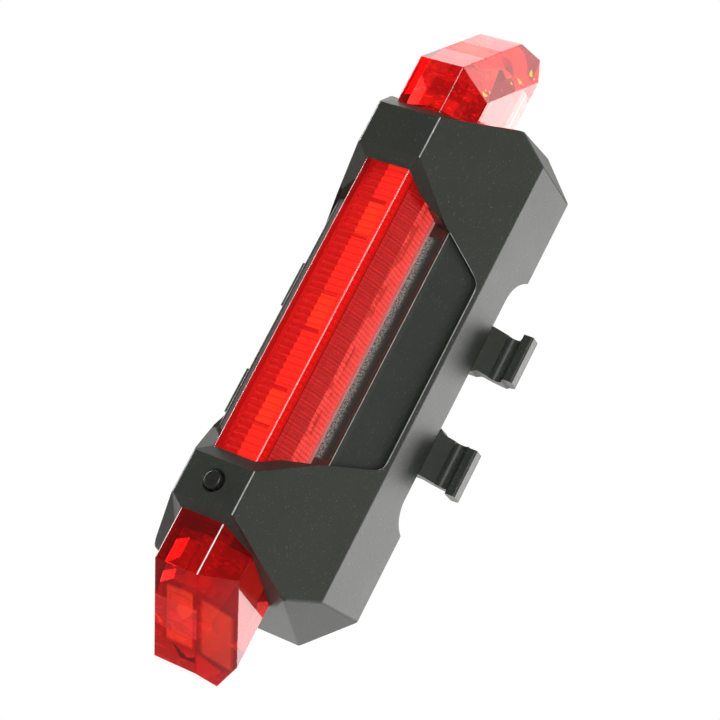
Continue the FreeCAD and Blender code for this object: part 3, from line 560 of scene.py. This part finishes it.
def redLens(name, look):
    # the plastic itself is red all through, so thin places are pale and thick ones deep
    shade = Shade(name, IOR=1.5, Transmission_Weight=1.0, Emission_Strength=1.0)
    spot = Spot(shade)
    behind = spot.depth - lensFront
    wave = shade.noise(*look["wave"])
    tone, lit, ribs, cover = windowRibs(shade, spot, behind, look)
    # painted shade on the sides just behind the front
    rim = (behind > look["edgeShadeFrom"]) * (behind < look["edgeShadeTo"])
    rim = rim * (spot.nx.size() > look["sideways"]) * (spot.along < look["endFrom"])
    tone, glow = endFacets(shade, spot, shade.mix(rim, tone, look["edgeShade"]), look)
    shade.feed("Base Color", tone)
    shade.feed("Emission Color", glow)
    shade.feed("Roughness", wave * look["waveRough"] + look["roughness"] + ribs * look["ribRough"])
    shade.bump(wave, look["waveStrength"], look["waveHeight"])
    inside = shade.node("ShaderNodeVolumeAbsorption", None,
                        {"Color": look["tint"], "Density": look["density"]})[0]
    shade.put(shade.output.inputs["Volume"], inside)
    paleTone, paleCover = palePaintedLight(shade, spot, behind, look)
    pale = shade.coat(paleTone, look["paleRough"], paleTone, look["paleGlow"])
    surface = shade.blend(paleCover, Sock(shade, shade.shader.outputs[0]), pale)
    # ribs and roofs get painted light: a glowing coat stands in for the red light of what lies behind them,
    # so they look lit
    lit, roofCover = endRoofs(shade, spot, behind, lit, look)
    glowing = shade.coat(look["ribDark"], look["litRough"], lit, 1.0)
    surface = shade.blend((cover + roofCover).least(1.0), surface, glowing)
    # a thin painted highlight, an orange line glowing a little, runs along the sides at the shoulder of the
    # slopes inside
    line = shade.band(behind - shoulder, *look["shoulderBand"]) * (spot.along < look["ribHalfLength"])
    line = line * (spot.across > lensHalfWidth - look["shoulderWidth"])
    orange = shade.coat(look["shoulderLine"], look["shoulderRough"], look["shoulderLine"],
                        look["shoulderGlow"])
    surface = shade.blend(line * look["shoulderShare"], surface, orange)
    shade.put(shade.output.inputs["Surface"], surface)
    return shade.material


plainLook = {
    "grain": (2.0, 0.6),
    "cloud": (240.0, 2.0, 0.5),
    "cloudShare": 0.5,
    "dark": 0.86,
    "roughSpread": 0.1,
    "bumpHeight": 0.00003,
}


def plain(name, colour, roughness, metallic=0.0, grainScale=3000.0, bump=0.15):
    # one colour with a fine grain and soft clouds
    shade = Shade(name, Metallic=metallic)
    grain = shade.noise(grainScale, *plainLook["grain"])
    cloud = shade.noise(*plainLook["cloud"])
    patch = grain * (1.0 - plainLook["cloudShare"]) + cloud * plainLook["cloudShare"]
    dark = tuple(channel * plainLook["dark"] for channel in colour)
    shade.feed("Base Color", shade.mix(patch, dark, colour))
    spread = plainLook["roughSpread"]
    shade.feed("Roughness", grain * spread + (roughness - spread / 2))
    shade.bump(grain, bump, plainLook["bumpHeight"])
    return shade.material


materials = {
    "housing": blackPlastic("satinBlack", blackPlasticLook, True),
    "cover": blackPlastic("satinBlackCover", blackPlasticLook, False),
    "button": plain("buttonBlack", (0.022, 0.022, 0.021), 0.3, 0.0, 4200.0, 0.2),
    "lens": redLens("clearRed", redLensLook),
    "white": plain("whiteTray", (0.88, 0.88, 0.86), 0.4),
    "board": plain("whiteBoard", (0.82, 0.82, 0.8), 0.45),
    "led": plain("lampWhite", (0.88, 0.88, 0.84), 0.4),
    "phosphor": plain("phosphorYellow", (0.95, 0.74, 0.14), 0.4),
    "chip": plain("chipBlack", (0.02, 0.02, 0.022), 0.5),
    "tin": plain("tin", (0.75, 0.75, 0.74), 0.3, 1.0),
    "steel": plain("steel", (0.7, 0.7, 0.7), 0.28, 1.0),
    "gold": plain("gold", (0.9, 0.66, 0.3), 0.25, 1.0),
    "cell": plain("cellFoil", (0.78, 0.79, 0.8), 0.35, 1.0),
    "red_wire": plain("redWire", (0.6, 0.03, 0.02), 0.4),
    "black_wire": plain("blackWire", (0.02, 0.02, 0.02), 0.4),
    "screw": plain("screwSteel", (0.3, 0.3, 0.31), 0.35, 1.0),
    "rubber": plain("blackRubber", (0.022, 0.022, 0.023), 0.7, 0.0, 2600.0, 0.4),
}
slotOf = {piece["node"]: piece["material_slot"] for piece in frame["record"]["subparts"]}
for node, thing in frame["nodes"].items():
    for slot in thing.material_slots:
        slot.material = materials[slotOf[node]]
print("materials given to", len(frame["nodes"]), "pieces")


def addMesh(name, mesh, material):
    for face in mesh.faces:
        face.smooth = False
    data = bpy.data.meshes.new(name)
    mesh.to_mesh(data)
    mesh.free()
    data.materials.append(material)
    thing = bpy.data.objects.new(name, data)
    bpy.context.scene.collection.objects.link(thing)
    return thing


def addBlock(mesh, halfWidth, front, rear, low, length):
    # a plain block between two depths, from one height up
    bmesh.ops.create_cube(mesh, size=1.0)
    size = (2 * halfWidth * mm, (rear - front) * mm, length * mm)
    bmesh.ops.scale(mesh, vec=size, verts=mesh.verts)
    middle = (0, depthToY((front + rear) / 2), (low + length / 2) * mm)
    bmesh.ops.translate(mesh, vec=middle, verts=mesh.verts)


def cutAway(mesh, point, normal):
    # cuts a closed mesh on a plane, drops what lies on the normal's side and closes the cut
    found = bmesh.ops.bisect_plane(mesh, geom=mesh.verts[:] + mesh.edges[:] + mesh.faces[:],
                                   plane_co=point, plane_no=normal, clear_outer=True)
    rim = [item for item in found["geom_cut"] if isinstance(item, bmesh.types.BMEdge)]
    bmesh.ops.holes_fill(mesh, edges=rim, sides=0)


def depthToY(depth):
    return (depth - originDepth) * mm


guideLook = {
    "gap": 0.08,
    "hollowDepth": 1.6,
    "hollowHalfWidth": 3.45,
    "frontHalfWidth": 2.08,
    "halfLength": 17.0,
    "ribPitch": 0.5,
    "ribHeight": 0.06,
    "frontRibShare": 0.6,
    "wellHalfLength": 2.0,
    "wellRim": 0.28,
    "wellDepth": 0.7,
    "wellFrom": 0.2,
    "slopeMargin": 0.05,
    "roughness": 0.45,
    # colours, and the painted glow that each part of the guide gives
    "front": (0.95, 0.085, 0.035),
    "well": (0.98, 0.16, 0.04),
    "slope": (0.46, 0.010, 0.008),
    "side": (0.98, 0.15, 0.14),
    "line": (0.16, 0.003, 0.003),
    "frontGlow": (0.32, 0.028, 0.012),
    "wellGlow": (0.36, 0.075, 0.014),
    "slopeGlow": (0.13, 0.003, 0.003),
    "sideGlow": (0.62, 0.110, 0.100),
    # its grooves in painted shade, the grid and the blotches of its sides, and its fine lines
    "groove": (0.62, 0.25),
    "grooveShare": 0.55,
    "grooveShade": 0.7,
    "grooveSide": 0.6,
    "grooveFront": 0.15,
    "grid": (0.56, 0.72, 0.2),
    "gridShare": 0.3,
    "blotchCloud": (700.0, 3.0, 0.6, (1.0, 1.0, 0.5)),
    "blotchBand": (0.54, 0.75, 0.06),
    "blotchTo": 1.3,
    "blotchShare": 0.7,
    "fine": (900.0, 2.0, 0.6, (0.4, 0.4, 2.2)),
    "fineBand": (0.55, 1.0, 0.08),
    "fineShare": 0.35,
    "fineStrength": 0.3,
    "fineHeight": 0.00004,
}


def guidePlastic(name, look):
    # painted light: a glowing bright front with deeper wells, darker ribbed slopes and pinker sides with a
    # faint grid, the sides' pink glow standing in for a reflection
    shade = Shade(name, Roughness=look["roughness"], IOR=1.5)
    spot = Spot(shade)
    front = lensFront + look["hollowDepth"] + look["gap"]
    foot = lensFront + shoulder
    half = look["frontHalfWidth"]
    slope = (spot.across > half + look["slopeMargin"]) * (spot.depth < foot)
    side = (spot.depth > foot) * (spot.across > half)
    well = (spot.across < half - look["wellRim"]) * (spot.depth > front + look["wellFrom"])
    colour = shade.mix(well, look["front"], look["well"])
    colour = shade.mix(slope, colour, look["slope"])
    colour = shade.mix(side, colour, look["side"])
    blotch = shade.band(shade.noise(*look["blotchCloud"]), *look["blotchBand"]) * side
    blotch = blotch * (spot.depth < foot + look["blotchTo"]) * look["blotchShare"]
    colour = shade.mix(blotch, colour, look["line"])
    groove = shade.stripes(spot.z, look["ribPitch"], *look["groove"])
    groove = groove * (slope + side * look["grooveSide"] + look["grooveFront"]).least(1.0)
    grid = shade.stripes(spot.depth, *look["grid"]) * side
    lines = (groove * look["grooveShare"] + grid * look["gridShare"]).least(1.0)
    colour = shade.mix(lines, colour, look["line"])
    fine = shade.noise(*look["fine"])
    colour = shade.mix(shade.band(fine, *look["fineBand"]) * look["fineShare"], colour, look["line"])
    shade.feed("Base Color", colour)
    glow = shade.mix(slope, shade.mix(well, look["frontGlow"], look["wellGlow"]), look["slopeGlow"])
    lit = side * (1.0 - groove * look["grooveShade"]) * (1.0 - blotch)
    shade.feed("Emission Color", shade.mix(lit, glow, look["sideGlow"]))
    shade.feed("Emission Strength", 1.0)
    shade.bump(fine, look["fineStrength"], look["fineHeight"])
    return shade.material


def makeGuide(look):
    # the ribbed red light guide behind the window, with an open well over each lamp
    front = lensFront + look["hollowDepth"] + look["gap"]
    half = look["hollowHalfWidth"] - look["gap"]
    rear = trayLow.y / mm + originDepth - look["gap"]
    length = look["halfLength"]
    mesh = bmesh.new()
    addBlock(mesh, half, front, rear, -length, 2 * length)
    rise = lensFront + shoulder - front
    run = half - look["frontHalfWidth"]
    for side in (1, -1):
        cutAway(mesh, (side * look["frontHalfWidth"] * mm, depthToY(front), 0), (side * rise, -run, 0))
    step = look["ribPitch"] / 2
    for i in range(1, round(2 * length / step)):
        bmesh.ops.bisect_plane(mesh, geom=mesh.verts[:] + mesh.edges[:] + mesh.faces[:],
                               plane_co=(0, 0, (i * step - length) * mm), plane_no=(0, 0, 1))
    # every second ring of corners is drawn in, so ribs stand between them
    for vert in mesh.verts:
        if round((vert.co.z / mm + length) / step) % 2:
            vert.co.x *= 1 - look["ribHeight"] / half
            if vert.co.y < depthToY(rear - look["gap"]):
                vert.co.y += look["ribHeight"] * mm * look["frontRibShare"]
    # the wells are sunk into the faces that look straight forward
    for place in lampPlaces:
        wanted = [face for face in mesh.faces if face.normal.y < -0.9
                  and abs(face.calc_center_median().z / mm - place) < look["wellHalfLength"]]
        bmesh.ops.inset_region(mesh, faces=wanted, thickness=look["wellRim"] * mm,
                               depth=-look["wellDepth"] * mm, use_boundary=True, use_even_offset=True)
    bmesh.ops.recalc_face_normals(mesh, faces=mesh.faces)
    guide = addMesh("windowLightGuide", mesh, guidePlastic("guideRed", look))
    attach(guide, "light")


reflectorLook = {
    "gap": 0.1,
    "halfWidth": 3.45,
    "startZ": 25.2,
    "shoulderZ": 33.2,
    "pointZ": 34.9,
    "ridgeDepth": 3.04,
    "shoulderDepth": 5.14,
    "endPoint": (2.08, 29.54),
    "endSlope": 0.991,
    "backThickness": 1.0,
    "edgeRadius": 0.12,
    "sharpFrom": 0.2,
    "face": (1.0, 0.34, 0.10),
    "deep": (0.85, 0.14, 0.05),
    "glow": 0.45,
    "roughness": 0.3,
    "cloud": (300.0, 3.0, 0.6),
    "deepBand": (0.5, 0.8, 0.2),
    "bumpStrength": 0.3,
    "bumpHeight": 0.00005,
}


def reflectorPlastic(name, look):
    # painted glow: the form glows in its own colour, though it is no lamp
    shade = Shade(name, Roughness=look["roughness"], IOR=1.5)
    cloud = shade.noise(*look["cloud"])
    colour = shade.mix(shade.band(cloud, *look["deepBand"]), look["face"], look["deep"])
    shade.feed("Base Color", colour)
    shade.feed("Emission Color", colour)
    shade.feed("Emission Strength", look["glow"])
    shade.bump(cloud, look["bumpStrength"], look["bumpHeight"])
    return shade.material


def makeReflector(look):
    # the gabled orange-red form in the lower end's hollow, cut pointing up and then mirrored
    start = look["startZ"] + look["gap"]
    length = look["pointZ"] - look["gap"] - start
    rear = lensRear - look["backThickness"] - look["gap"]
    front = lensFront + look["ridgeDepth"] + look["gap"]
    mesh = bmesh.new()
    addBlock(mesh, look["halfWidth"] - look["gap"], front, rear, start, length)
    lean = (look["pointZ"] - look["shoulderZ"]) / look["halfWidth"]
    roof = (look["shoulderDepth"] - look["ridgeDepth"]) / look["halfWidth"]
    for side in (1, -1):
        cutAway(mesh, (0, 0, (start + length) * mm), (side * lean, 0, 1))
        cutAway(mesh, (0, depthToY(front), 0), (side * roof, -1, 0))
    endDepth, endZ = look["endPoint"]
    cutAway(mesh, (0, depthToY(lensFront + endDepth + look["gap"]), endZ * mm), (0, -look["endSlope"], 1))
    bmesh.ops.scale(mesh, vec=(1, 1, -1), verts=mesh.verts)
    edges = [edge for edge in mesh.edges if edge.calc_face_angle(0) > look["sharpFrom"]]
    bmesh.ops.bevel(mesh, geom=edges, offset=look["edgeRadius"] * mm, offset_type="OFFSET", segments=2,
                    profile=0.5, affect="EDGES", material=-1)
    bmesh.ops.recalc_face_normals(mesh, faces=mesh.faces)
    reflector = addMesh("lowerEndReflector", mesh, reflectorPlastic("gemRed", look))
    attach(reflector, "light")


makeGuide(guideLook)
makeReflector(reflectorLook)
print("light guide and end reflector built")

floorLook = {
    "drop": 0.035,
    "radius": 0.6,
    "segments": 96,
    "colour": (0.86, 0.86, 0.85),
    "light": 1.04,
    "cloud": (18.0, 3.0, 0.5),
    "roughness": 0.6,
    "roughSpread": 0.1,
    "seenGlow": 0.45,
    "mirrorShade": 0.75,
    "mirrorGlow": 0.9,
    "rearFrom": 0.005,
    "rearTo": 0.03,
}


def floorMaterial(look):
    shade = Shade("paleFloor", Emission_Strength=1.0)
    cloud = shade.noise(*look["cloud"])
    light = tuple(channel * look["light"] for channel in look["colour"])
    pale = shade.mix(cloud, look["colour"], light)
    # a touch of its own light keeps it pale to the edge; gloss sees it dark in front, bright behind
    path = shade.node("ShaderNodeLightPath")
    seen, mirrored = path[0], path[3]
    rear = shade.ramp(shade.axes(shade.place())[1], look["rearFrom"], look["rearTo"])
    black = (0.0, 0.0, 0.0)
    shade.feed("Base Color", shade.mix(mirrored * (1.0 - rear) * look["mirrorShade"], pale, black))
    shade.feed("Emission Color", seen * look["seenGlow"] + mirrored * rear * look["mirrorGlow"])
    shade.feed("Roughness", cloud * look["roughSpread"] + look["roughness"])
    # from below there is no floor
    shade.feed("Alpha", 1.0 - shade.node("ShaderNodeNewGeometry")[6])
    return shade.material


def makeFloor(look):
    mesh = bmesh.new()
    bmesh.ops.create_circle(mesh, cap_ends=True, segments=look["segments"], radius=look["radius"])
    bmesh.ops.translate(mesh, verts=mesh.verts, vec=(0, 0, lensLow.z - look["drop"]))
    floor = addMesh("floor", mesh, floorMaterial(look))


makeFloor(floorLook)

surroundLook = {"edgeFrom": -0.02, "edgeTo": 0.5, "front": 0.10, "rear": 0.9, "through": 1.15}


def whiteSurround(look):
    # the camera sees plain white, clear plastic a bright one, and gloss a room brighter at the back
    world = bpy.data.worlds.new("surround")
    bpy.context.scene.world = world
    world.use_nodes = True
    tree = world.node_tree
    background = tree.nodes["Background"]
    background.inputs["Color"].default_value = (1, 1, 1, 1)
    path = tree.nodes.new("ShaderNodeLightPath")
    where = tree.nodes.new("ShaderNodeTexCoord")
    split = tree.nodes.new("ShaderNodeSeparateXYZ")
    tree.links.new(where.outputs["Generated"], split.inputs[0])
    behind = tree.nodes.new("ShaderNodeMapRange")
    tree.links.new(split.outputs["Y"], behind.inputs["Value"])
    behind.inputs["From Min"].default_value = look["edgeFrom"]
    behind.inputs["From Max"].default_value = look["edgeTo"]
    behind.inputs["To Min"].default_value = look["front"]
    behind.inputs["To Max"].default_value = look["rear"]
    value = behind.outputs["Result"]
    for ray, strength in (("Is Transmission Ray", look["through"]), ("Is Camera Ray", 1.0)):
        pick = tree.nodes.new("ShaderNodeMix")
        tree.links.new(path.outputs[ray], pick.inputs[0])
        tree.links.new(value, pick.inputs[2])
        pick.inputs[3].default_value = strength
        value = pick.outputs[0]
    tree.links.new(value, background.inputs["Strength"])


whiteSurround(surroundLook)

lamps = {
    "rearRight": {"place": (0.24, 0.30, 0.08), "size": (0.26, 0.26), "power": 1.1},
    "rearTop": {"place": (-0.21, 0.13, 0.35), "size": (0.22, 0.22), "power": 0.22},
    "leftStrip": {"place": (-0.42, -0.05, 0.10), "size": (0.08, 0.34), "power": 0.9},
    "frontStrip": {"place": (0.20, -0.38, 0.10), "size": (0.07, 0.34), "power": 0.9},
}


def makeLamp(name, look):
    # a soft lamp that faces the middle of the light
    light = bpy.data.lights.new(name, "AREA")
    light.shape = "RECTANGLE"
    light.size, light.size_y = look["size"]
    light.energy = look["power"]
    thing = bpy.data.objects.new(name, light)
    thing.location = look["place"]
    middle = Vector((0, (lensLow.y + lensHigh.y) / 2, 0))
    thing.rotation_euler = (middle - Vector(look["place"])).to_track_quat("-Z", "Y").to_euler()
    bpy.context.scene.collection.objects.link(thing)


for lampName, lampLook in lamps.items():
    makeLamp(lampName, lampLook)

# the place in metres and the turn in degrees
cameraLook = {"place": (0.12795, -0.20859, -0.05757), "turn": (105.0765, -26.6158, 25.2973), "lens": 117.6}


def makeCamera(look):
    data = bpy.data.cameras.new("photoView")
    data.lens = look["lens"]
    data.sensor_width = 36.0
    data.clip_start = 0.01
    camera = bpy.data.objects.new("photoView", data)
    camera.location = look["place"]
    camera.rotation_euler = tuple(math.radians(angle) for angle in look["turn"])
    bpy.context.scene.collection.objects.link(camera)
    bpy.context.scene.camera = camera


makeCamera(cameraLook)
bpy.context.scene.view_settings.view_transform = "Standard"
print("stage, lamps and camera ready")
